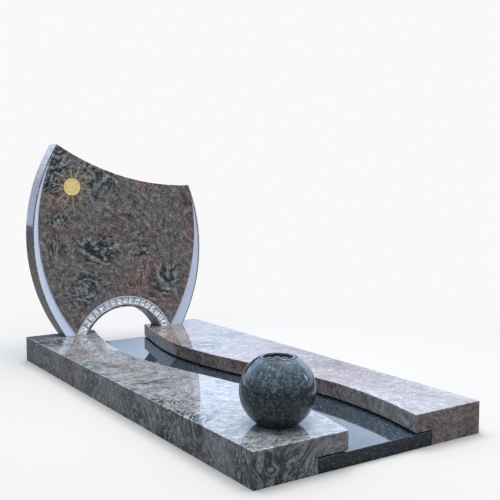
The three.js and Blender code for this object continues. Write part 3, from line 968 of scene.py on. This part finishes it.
def ray_cutter(turn, length):
    """A blade that tapers outwards, turned about the sun's centre."""
    deselect()
    bpy.ops.mesh.primitive_cube_add(size=1, scale=(length, sun_cut, RAY_ROOT_WIDTH),
                                    location=(ray_root + length / 2, 0, 0))
    settle()
    blade = open_new("ray cutter")
    pick(blade, "VERT", lambda v: v.co.x > ray_root + length / 2)
    bpy.ops.transform.resize(value=(1, 1, RAY_TIP_WIDTH / RAY_ROOT_WIDTH),
                             center_override=(ray_root + length, 0, 0))
    make_active(blade)
    blade.rotation_euler.y = -turn
    blade.location = sun_middle
    settle()
    blade.data.materials.append(gold_leaf)
    return blade


deselect()
bpy.ops.mesh.primitive_cylinder_add(vertices=SUN_SIDES, radius=SUN_RADIUS, depth=sun_cut,
                                    rotation=(math.pi / 2, 0, 0), location=sun_middle)
settle()
bpy.context.object.data.materials.append(gold_leaf)
cutters.append(bpy.context.object)
for ray, reach in enumerate(RAY_REACHES):
    turn = RAY_TURN + 2 * math.pi * ray / len(RAY_REACHES)
    cutters.append(ray_cutter(turn, reach * MM - ray_root))
print(f"{len(cutters)} cutters, {len(RAY_REACHES)} of them rays of the sun")

# %% [markdown]
# ## Cutting the face
# The cutters are sunk into the stone with the boolean modifier. All at once would be quicker to write,
# but one after the other keeps each cut simple, and the material of the cutter goes over to its floor.

# %% Sink the cutters
for cutter in cutters:
    combine(headstone, cutter, "DIFFERENCE", "TRANSFER")
measure(headstone)

# %% [markdown]
# ## How the bosses stand
# Sixteen small bosses and a plainer foot block follow the arch, each split from the next by a groove.
# A rule says how far every place of the band stands up: not at all in a groove or at the rims, and
# fully on a boss, with a round shoulder between.

# %% The profile of a boss
HEWN_BLOCKS = 16
HEWN_FOOT_LENGTH = 44 * MM
HEWN_GROOVE = 3.5 * MM
GROOVE_SHOULDER = 3.5 * MM
RIM_SHOULDER = 6 * MM
INNER_RIM_LIFT = 1.5 * MM
# How far past the blocks the outermost bosses run on, in radians
LAP = 0.16
band_middle = (BAND_INNER_RADIUS + BED_OUTER_RADIUS) / 2
band_half = arch_half_angle(band_middle)
foot_angle = HEWN_FOOT_LENGTH / band_middle
pitch = (2 * band_half - foot_angle) / HEWN_BLOCKS


def shoulder_rise(away, width):
    """From 0 to 1 over the width of a shoulder, as a quarter of a wave."""
    return math.sin(max(0.0, min(1.0, away / width)) * math.pi / 2)


def boss_profile(angle, radius):
    """How far a point of the band stands up, from 0 to 1, and which boss it is on."""
    along = angle + band_half - foot_angle
    if along < 0:
        boss, start, end = -1, -foot_angle - LAP, 0.0
    else:
        boss = min(int(along / pitch), HEWN_BLOCKS - 1)
        start = boss * pitch
        end = start + pitch if boss < HEWN_BLOCKS - 1 else start + pitch + LAP
    from_groove = min(along - start, end - along) * band_middle - HEWN_GROOVE / 2
    from_rim = min(radius - BAND_INNER_RADIUS + INNER_RIM_LIFT, BED_OUTER_RADIUS - radius)
    return shoulder_rise(from_groove, GROOVE_SHOULDER) * shoulder_rise(from_rim, RIM_SHOULDER), boss


print(f"a boss every {math.degrees(pitch):.1f} degrees")

# %% [markdown]
# ## The strip of the band
# The band is drawn as a strip across, spun along the arch and given a thin back, so it is a closed
# solid of many small faces. A grid laid flat and bent would do too, but the spin keeps every row square
# to the arch.

# %% Spin the strip along the arch
ROWS_A_BLOCK = 14
STRIP_STEPS = 16
BAND_SINK = 0.4 * MM
BAND_BACK = 1.4 * MM
band_face = STONE_FRONT + BAND_DEPTH - BAND_SINK
strip_width = BED_OUTER_RADIUS - BAND_INNER_RADIUS
band_reach = band_half + LAP
rows = int(2 * band_reach / pitch * ROWS_A_BLOCK)


def strip_point(step):
    return arch_point(BAND_INNER_RADIUS + strip_width * step / STRIP_STEPS, -band_reach)


band = start_outline("hewn band", strip_point(0), band_face)
for step in range(STRIP_STEPS):
    line_to(strip_point(step), strip_point(step + 1))
bpy.ops.mesh.select_all(action="SELECT")
bpy.ops.mesh.spin(steps=rows, angle=-2 * band_reach, center=on_face(ARCH_CENTRE, STONE_FRONT),
                  axis=(0, 1, 0))
bpy.ops.mesh.select_all(action="SELECT")
pull(0, BAND_BACK, 0)
outward()
bpy.ops.object.mode_set(mode="OBJECT")
print(f"hewn band: {rows} rows of {STRIP_STEPS} faces")

# %% [markdown]
# ## Rough from the point chisel
# Now the front of the strip is pulled out where the bosses stand. A displace modifier would move it
# evenly, but a point chisel breaks stone off in facets and chips and leaves grit. Each of the three is a
# noise, added corner by corner, and each boss reads its chips and facets at a place of its own.

# %% Raise and roughen the bosses
BOSS_HEIGHT = 5.6 * MM
CHIP_SIZE, CHIP_HEIGHT = 13 * MM, 2.6 * MM
FACET_HEIGHT = 3.6 * MM
GRIT_SIZE, GRIT_HEIGHT = 3 * MM, 0.8 * MM
# From boss to boss the chips and facets are read this much further on, in metres
BOSS_SHIFT = 0.37

for corner in band.data.vertices:
    if abs(corner.co.y - band_face) < NEAR:
        flat = Vector((corner.co.x, corner.co.z - BED)) - ARCH_CENTRE
        rise, boss = boss_profile(math.atan2(flat.x, flat.y), flat.length)
        read_at = Vector((corner.co.x, boss * BOSS_SHIFT, corner.co.z)) / CHIP_SIZE
        chips = CHIP_HEIGHT * noise.noise(read_at)
        facets = FACET_HEIGHT * noise.voronoi(read_at)[0][0]
        grit = GRIT_HEIGHT * noise.noise(corner.co / GRIT_SIZE)
        corner.co.y -= rise * (BOSS_HEIGHT + chips - facets + grit)
band.data.materials.append(hewn_stone)
measure(band)

# %% [markdown]
# ## Joining the band to the stone
# The strip runs on below the feet, so it is cut off level with them by bisect. Then a boolean union makes
# it one piece with the stone, because the real band is hewn from the stone and not laid on it.

# %% Trim the band and join it
TRIM_ABOVE_BED = 0.02 * MM

make_active(band)
bpy.ops.object.mode_set(mode="EDIT")
bpy.ops.mesh.select_all(action="SELECT")
bpy.ops.mesh.bisect(plane_co=(0, 0, BED + TRIM_ABOVE_BED), plane_no=(0, 0, 1), clear_inner=True,
                    use_fill=True)
outward()
combine(headstone, band, "UNION", "TRANSFER")
even_light(headstone)
measure(headstone)

# %% [markdown]
# ## The ball vase
# The vase is turned on a lathe, so it is drawn as half a section and spun about its axis. The ball has a
# flat foot, a narrow groove round the collar, and a bore for water with a ledge that the holder rests on.

# %% Draw half the section
VASE_PLACE = Vector((-264, -822, 0)) * MM
BALL_RADIUS = 122.5 * MM
BALL_CENTRE = Vector((0, 107)) * MM
COLLAR_RADIUS = 57.5 * MM
COLLAR_TOP = 215.5 * MM
GROOVE_RADIUS = 61 * MM
GROOVE_FLOOR = 210 * MM
MOUTH_RADIUS = 47.5 * MM
LEDGE_HEIGHT = 202 * MM
BORE_RADIUS = 43 * MM
BORE_FLOOR = 62 * MM
BORE_CORNER = 9 * MM
BALL_STEPS = 56


def ball_point(radius, above):
    """The point of the ball's section at a distance from the axis, above or below its middle."""
    height = math.sqrt(BALL_RADIUS ** 2 - radius ** 2)
    return Vector((radius, BALL_CENTRE.y + (height if above else -height)))


axis_foot = Vector((0, 0))
foot = Vector((math.sqrt(BALL_RADIUS ** 2 - BALL_CENTRE.y ** 2), 0))
section = [Vector(point) for point in (
    ball_point(GROOVE_RADIUS, True), (GROOVE_RADIUS, GROOVE_FLOOR), (COLLAR_RADIUS, GROOVE_FLOOR),
    (COLLAR_RADIUS, COLLAR_TOP), (MOUTH_RADIUS, COLLAR_TOP), (MOUTH_RADIUS, LEDGE_HEIGHT),
    (BORE_RADIUS, LEDGE_HEIGHT), (BORE_RADIUS, BORE_FLOOR + BORE_CORNER),
    (BORE_RADIUS - BORE_CORNER, BORE_FLOOR), (0, BORE_FLOOR),
)]
vase = start_outline("granite_ball_vase", axis_foot, 0)
line_to(axis_foot, foot)
swing_to(foot, section[0], BALL_CENTRE, 0, BALL_STEPS)
for start, end in zip(section, section[1:]):
    line_to(start, end)
print(f"half section of {len(bmesh.from_edit_mesh(vase.data).verts)} points")

# %% [markdown]
# ## On the lathe
# One spin about the upright axis turns the section to a hollow ball with true walls. The rim of the
# collar is well rounded, as fingers and rain meet it first, and all other edges are only broken.

# %% Turn the vase
LATHE_STEPS = 128
VASE_SHARP = 25
RIM_ROUND, RIM_STEPS = 4.6 * MM, 6
BROKEN_EDGE, BROKEN_STEPS = 1.0 * MM, 3
ROUND_PIECE_SMOOTH = 40

bpy.ops.mesh.select_all(action="SELECT")
bpy.ops.mesh.spin(steps=LATHE_STEPS, angle=2 * math.pi, center=(0, 0, 0), axis=(0, 0, 1))
outward()
vase.data.materials.append(vase_granite)
bevel(vase, lambda e: is_sharp(e, VASE_SHARP) and abs(middle(e).z - COLLAR_TOP - BED) < NEAR, RIM_ROUND,
      RIM_STEPS, clamp_overlap=True)
bevel(vase, lambda e: is_sharp(e, VASE_SHARP), BROKEN_EDGE, BROKEN_STEPS, clamp_overlap=True)
outward()
bpy.ops.mesh.select_all(action="SELECT")
bpy.ops.transform.translate(value=VASE_PLACE)
even_light(vase, ROUND_PIECE_SMOOTH)
measure(vase)

# %% [markdown]
# ## The flower holder
# A pressed disc with a wide hole in the middle and a ring of smaller holes holds the stems upright.
# The holes are drilled with cylinders, and their rims are rounded so that they catch the light; the
# rounded rims also take the bright steel, a painted glint.

# %% Drill the holder
HOLDER_RADIUS = 46.8 * MM
HOLDER_THICKNESS = 4 * MM
MIDDLE_HOLE = 13 * MM
RING_HOLE = 8.5 * MM
HOLE_RING = 28 * MM
RING_HOLES = 6
DISC_SIDES, HOLE_SIDES = 96, 40
PRESSED_EDGE, PRESSED_STEPS = 0.8 * MM, 3
holder_middle = BED + LEDGE_HEIGHT + REST_GAP + HOLDER_THICKNESS / 2


def upright_cylinder(x, y, radius, depth, sides):
    deselect()
    bpy.ops.mesh.primitive_cylinder_add(vertices=sides, radius=radius, depth=depth,
                                        location=(VASE_PLACE.x + x, VASE_PLACE.y + y, holder_middle))
    settle()
    return bpy.context.object


holder = upright_cylinder(0, 0, HOLDER_RADIUS, HOLDER_THICKNESS, DISC_SIDES)
holder.name = holder.data.name = "flower_holder_disc"
# First the near-black steel, painted shade, then the bright steel, a painted glint for the rims
holder.data.materials.append(holder_steel_painted_shade)
holder.data.materials.append(rim_steel_painted_glint)
holes = [(0.0, 0.0, MIDDLE_HOLE)]
for hole in range(RING_HOLES):
    turn = 2 * math.pi * hole / RING_HOLES
    holes.append((HOLE_RING * math.cos(turn), HOLE_RING * math.sin(turn), RING_HOLE))
drills = [upright_cylinder(x, y, radius, 4 * HOLDER_THICKNESS, HOLE_SIDES) for x, y, radius in holes]
for drill in drills:
    combine(holder, drill, "DIFFERENCE", "INDEX")
make_active(holder)
bpy.ops.object.mode_set(mode="EDIT")
outward()
# The rounded rims take the bright steel, a painted glint
bevel(holder, is_sharp, PRESSED_EDGE, PRESSED_STEPS, material=1)
outward()
even_light(holder, ROUND_PIECE_SMOOTH)
measure(holder)

# %% [markdown]
# ## Tie the pieces to the frame
# Every piece stands for one CAD node, whose part is hidden. Nothing on a grave cover moves, so all of them
# ride on the one body of the part.

# %% Pieces and the nodes that they stand for
for piece, node, slot in (
    (left_block, "left_block", "multicolour_granite"),
    (right_block, "right_block", "multicolour_granite"),
    (centre_slab, "centre_slab", "dark_granite"),
    (headstone, "headstone", "headstone_granite"),
    (vase, "ball_vase", "vase_granite"),
    (holder, "flower_holder", "holder_metal"),
):
    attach(piece, "root")
    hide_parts(node)
    print(f"{piece.name} stands for {node}")

# %% [markdown]
# ## The floor
# The cover stands on matt pale paper. Close to it the paper takes its shadow, and further off it sweeps
# up, as evenly lit as the backdrop. Polished stone would mirror white paper too strongly, so the paper
# looks darker to everything but the camera.

# %% Floor
PAPER = "#f9f9f9"
PAPER_SEEN, PAPER_MIRRORED = "#8f8b83", "#5b5854"
FLOOR_RADIUS, FLOOR_SIDES, FLOOR_DROP = 60, 96, 0.5 * MM
SWEEP_FROM, SWEEP_TO = 1.2, 2.8

deselect()
bpy.ops.mesh.primitive_circle_add(vertices=FLOOR_SIDES, radius=FLOOR_RADIUS, fill_type="NGON",
                                  location=(0, 0, -FLOOR_DROP))
floor = bpy.context.object
floor.name = "pale_floor"
floor_finish, tree, surface = new_material("matt pale floor")
ray = add(tree, "LightPath", {})
tone = add(tree, "Mix", {MIX: ray.outputs["Is Camera Ray"], FIRST: PAPER_MIRRORED, SECOND: PAPER_SEEN},
           data_type="RGBA")
feed(surface, {"Base Color": tone.outputs[MIXED], "Roughness": 0.9, "Specular IOR Level": 0.1})
place = add(tree, "TexCoord", {}).outputs["Object"]
from_middle = add(tree, "VectorMath", {0: place}, operation="LENGTH")
sweep = add(tree, "MapRange", {"Value": from_middle.outputs["Value"], "From Min": SWEEP_FROM,
                               "From Max": SWEEP_TO}, interpolation_type="SMOOTHSTEP")
swept = add(tree, "Math", {0: sweep, 1: ray.outputs["Is Camera Ray"]}, operation="MULTIPLY")
paper_glow = add(tree, "Emission", {"Color": PAPER})
ground = add(tree, "MixShader", {0: swept, 1: surface, 2: paper_glow})
feed(tree.nodes["Material Output"], {"Surface": ground})
floor.data.materials.append(floor_finish)
print(f"{floor.name}: even paper from {SWEEP_TO} m out")

# %% [markdown]
# ## The sky
# Polished stone shows what stands around it, so the light matters as much as the stone. A wide pale sky
# that is dimmer near the horizon gives the tops their bright sheen and leaves the upright faces deep. It
# is brighter behind the headstone than before it. A black flag stands low behind the left end, so that
# the polish of the far left corner mirrors the dark.

# %% Two halves of the sky
SKY_BEHIND = [(0.0, "#808ca4"), (0.19, "#6c7686"), (0.27, "#929fb4"), (0.5, "#92a1bf"), (1.0, "#97a5c1")]
SKY_BEFORE = [(0.0, "#41464b"), (0.10, "#575d64"), (0.4, "#666f7a"), (0.7, "#78818e"), (1.0, "#929dac")]
BEHIND_SIDE = (0.45, 0.89, 0)
BEHIND_FROM, BEHIND_TO = -0.2, 0.55
SKY_STRENGTH = 5.0
CLOUD_DARK, CLOUD_BRIGHT = 0.62, 1.38
FLAG_SIDE = Vector((0.221, 0.956, 0.191)).normalized()
FLAG_EDGE, FLAG_CORE = math.cos(math.radians(10.5)), math.cos(math.radians(9.8))
FLAG_LIGHT = 0.12

sky = bpy.data.worlds.new("soft sky")
bpy.context.scene.world = sky
sky.use_nodes = True
tree = sky.node_tree
direction = add(tree, "TexCoord", {}).outputs["Generated"]
axes = add(tree, "SeparateXYZ", {0: direction})
behind = add(tree, "ValToRGB", {"Fac": axes.outputs["Z"]}, stops=SKY_BEHIND)
before = add(tree, "ValToRGB", {"Fac": axes.outputs["Z"]}, stops=SKY_BEFORE)
away = add(tree, "VectorMath", {0: direction, 1: BEHIND_SIDE}, operation="DOT_PRODUCT")
facing = add(tree, "MapRange", {"Value": away.outputs["Value"], "From Min": BEHIND_FROM,
                                "From Max": BEHIND_TO}, interpolation_type="SMOOTHSTEP")
around = add(tree, "Mix", {MIX: facing, FIRST: before, SECOND: behind}, data_type="RGBA")
clouds = add(tree, "TexNoise", {"Vector": direction, "Scale": 2.6, "Detail": 4.0, "Distortion": 0.6})
broken = add(tree, "MapRange", {"Value": clouds, "From Min": 0.35, "From Max": 0.65,
                                "To Min": CLOUD_DARK * SKY_STRENGTH,
                                "To Max": CLOUD_BRIGHT * SKY_STRENGTH})
to_flag = add(tree, "VectorMath", {0: direction, 1: FLAG_SIDE}, operation="DOT_PRODUCT")
flagged = add(tree, "MapRange", {"Value": to_flag.outputs["Value"], "From Min": FLAG_EDGE,
                                 "From Max": FLAG_CORE, "To Min": 1.0, "To Max": FLAG_LIGHT},
              interpolation_type="SMOOTHSTEP")
strength = add(tree, "Math", {0: broken, 1: flagged}, operation="MULTIPLY")
overcast = add(tree, "VectorMath", {0: around.outputs[MIXED], "Scale": strength}, operation="SCALE")
print(f"cloudy sky of strength {SKY_STRENGTH}")

# %% [markdown]
# ## The bright side of the sky
# Cloud is brighter towards the sun, so one side of the sky gets a wide glow, high on the right and a
# little behind. The camera itself doesn't see this sky but plain paper, as in a studio.

# %% Glow and backdrop
BRIGHT_SIDE = Vector((0.35, 0.25, 0.90)).normalized()
BRIGHT_FALL = 6.0
BRIGHT_LIGHT = (1.2, 1.35, 1.5)

towards = add(tree, "VectorMath", {0: direction, 1: BRIGHT_SIDE}, operation="DOT_PRODUCT")
upper = add(tree, "Math", {0: towards.outputs["Value"], 1: 0.0}, operation="MAXIMUM")
lobe = add(tree, "Math", {0: upper, 1: BRIGHT_FALL}, operation="POWER")
glow = add(tree, "VectorMath", {0: BRIGHT_LIGHT, "Scale": lobe}, operation="SCALE")
light = add(tree, "VectorMath", {0: overcast, 1: glow}, operation="ADD")
lit = add(tree, "Background", {"Color": light, "Strength": 1.0})
paper = add(tree, "Background", {"Color": PAPER, "Strength": 1.0})
seen = add(tree, "LightPath", {})
shown = add(tree, "MixShader", {0: seen.outputs["Is Camera Ray"], 1: lit, 2: paper})
feed(tree.nodes["World Output"], {"Surface": shown})
print(f"{sky.name}: {len(tree.nodes)} nodes")

# %% [markdown]
# ## The lamps
# A narrow upright softbox on the right draws a thin highlight on the ball, and its light is kept in a
# narrow beam, so that the tops don't mirror it from the other side. A large one overhead lights the tops
# evenly, and a weak low one lifts the upright faces of the foot end. Those two are hidden from the polish.

# %% Three softboxes
# Each lamp: its place, its size and its energy in watts
SIDE_LAMP = ((3.2, -1.9, 1.5), 0.25, 0.08)
OVERHEAD_LAMP = ((0.3, 0.1, 5.0), 4.0, 690)
FOOT_LAMP = ((-0.2, -3.6, 0.5), 1.0, 13)
SIDE_HEIGHT, SIDE_BEAM = 1.3, math.radians(16)
BALL_UPPER_HALF = (-0.26, -0.82, 0.25)
FOOT_FACES = (0.0, -1.0, 0.1)
OVERHEAD_TONE, FOOT_TONE = "#f6f6fb", "#f8f4f0"


def softbox(place, size, energy, aim=None, height=None):
    """A square area lamp, or an upright one where a height is given. It looks down or at its aim."""
    deselect()
    bpy.ops.object.light_add(type="AREA", location=place)
    lamp = bpy.context.object
    lamp.data.size = size
    lamp.data.energy = energy
    if height:
        lamp.data.shape = "RECTANGLE"
        lamp.data.size_y = height
    if aim:
        lamp.rotation_euler = (Vector(aim) - lamp.location).to_track_quat("-Z", "Y").to_euler()
    return lamp


side_lamp = softbox(*SIDE_LAMP, aim=BALL_UPPER_HALF, height=SIDE_HEIGHT)
side_lamp.data.spread = SIDE_BEAM
overhead = softbox(*OVERHEAD_LAMP)
foot_fill = softbox(*FOOT_LAMP, aim=FOOT_FACES)
for lamp, tone in ((overhead, OVERHEAD_TONE), (foot_fill, FOOT_TONE)):
    lamp.data.color = linear(tone)[:3]
    lamp.visible_glossy = False
print("lamps:", ", ".join(f"{lamp.data.energy:.2f} W" for lamp in (side_lamp, overhead, foot_fill)))

# %% [markdown]
# ## The camera
# The view is from the left of the foot end, from under a metre above the ground, and looks slightly
# down. The plain view transform keeps the colours as they were chosen.

# %% Camera
CAMERA_PLACE = (-1.705, -2.834, 0.880)
CAMERA_PITCH, CAMERA_TURN = math.radians(85.02), math.radians(-33.6)
CAMERA_LENS, CAMERA_SENSOR = 57.67, 36

deselect()
bpy.ops.object.camera_add(location=CAMERA_PLACE, rotation=(CAMERA_PITCH, 0, CAMERA_TURN))
camera = bpy.context.object
camera.data.lens = CAMERA_LENS
camera.data.sensor_width = CAMERA_SENSOR
bpy.context.scene.camera = camera
bpy.context.scene.view_settings.view_transform = "Standard"
print(f"{CAMERA_LENS} mm lens at {CAMERA_PLACE}")

# %% [markdown]
# ## The end
# The dressed pieces must fill the same box as the CAD model. At the end nothing is left selected, and the
# scene is brought up to date.

# %% The end
deselect()
bpy.context.view_layer.update()
